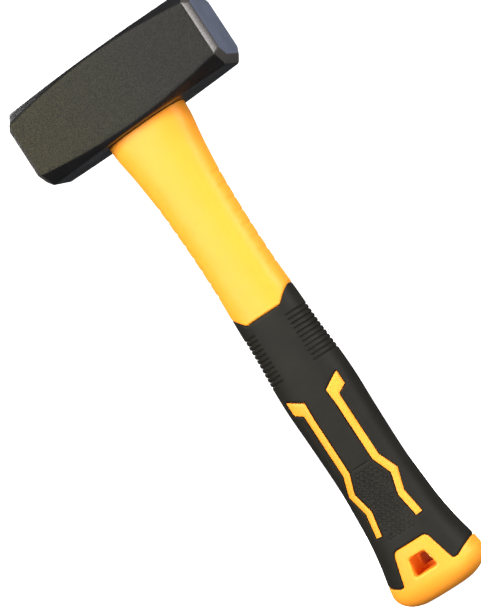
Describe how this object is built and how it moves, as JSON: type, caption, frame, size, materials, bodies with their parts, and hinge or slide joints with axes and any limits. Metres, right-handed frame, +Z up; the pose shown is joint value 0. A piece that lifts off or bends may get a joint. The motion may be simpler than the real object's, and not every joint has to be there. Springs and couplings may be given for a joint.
{
  "type": "club hammer",
  "caption": "Double-faced club hammer for masonry with a fibreglass-cored plastic handle, rubber grip and hanging hole.",
  "frame": {"origin": "centre of the small flat under the butt, with the hammer standing head up", "axes": "+Z up the handle from butt to head, +X along the head to one striking face, -Y the front cheek"},
  "size_m": [0.107, 0.04, 0.298],
  "materials": {
    "head_steel": "forged steel, textured dark powder coat, striking faces ground and lacquered",
    "handle_plastic": "satin injection-moulded polypropylene",
    "grip_rubber": "matte moulded thermoplastic rubber",
    "core_fibreglass": "pultruded glass fibre rod",
    "eye_epoxy": "poured epoxy"
  },
  "bodies": {
    "root": {"steel_head": "head_steel", "handle_shell": "handle_plastic", "rubber_grip": "grip_rubber", "fibreglass_core": "core_fibreglass", "eye_resin": "eye_epoxy"}
  },
  "joints": []
}
